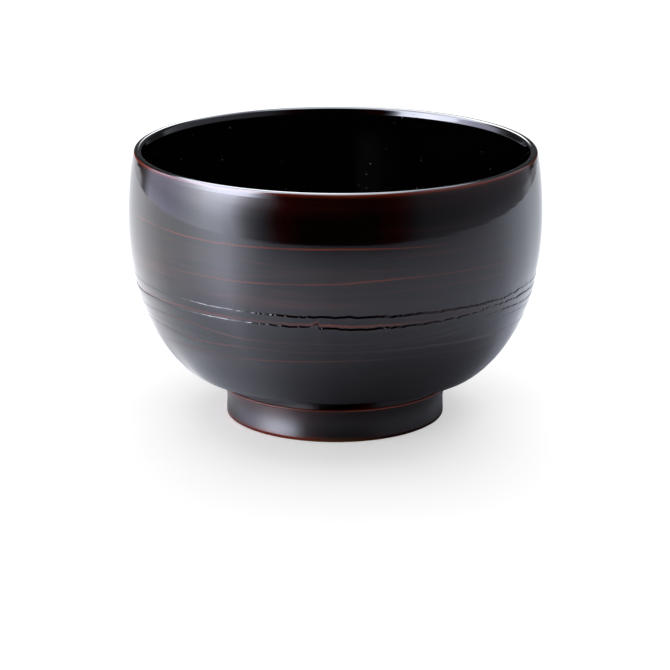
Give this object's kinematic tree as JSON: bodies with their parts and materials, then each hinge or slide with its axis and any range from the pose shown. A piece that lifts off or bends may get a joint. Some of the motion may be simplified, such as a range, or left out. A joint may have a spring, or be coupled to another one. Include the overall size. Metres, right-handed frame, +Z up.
{
  "type": "lacquer soup bowl",
  "caption": "Round turned soup bowl on a flared foot ring, black lacquer over red, with red-edged rim and foot and jagged lines round the body.",
  "frame": {"origin": "on the table under the middle of the bowl, level with the foot's resting ring", "axes": "+Z up along the bowl's axis of rotation; +X to the right and +Y away as the picture shows it"},
  "size_m": [0.112, 0.112, 0.0741],
  "materials": {
    "turned_wood": "bare, fine turned grain",
    "red_lacquer": "rubbed red lacquer",
    "black_lacquer": "polished black lacquer",
    "inner_black_lacquer": "polished deep black lacquer",
    "well_black_lacquer": "satin black lacquer"
  },
  "bodies": {
    "root": {"wood_core": "turned_wood", "red_undercoat": "red_lacquer", "body_black_coat": "black_lacquer", "foot_black_coat": "black_lacquer", "inner_black_coat": "inner_black_lacquer", "well_black_coat": "well_black_lacquer"}
  },
  "joints": []
}
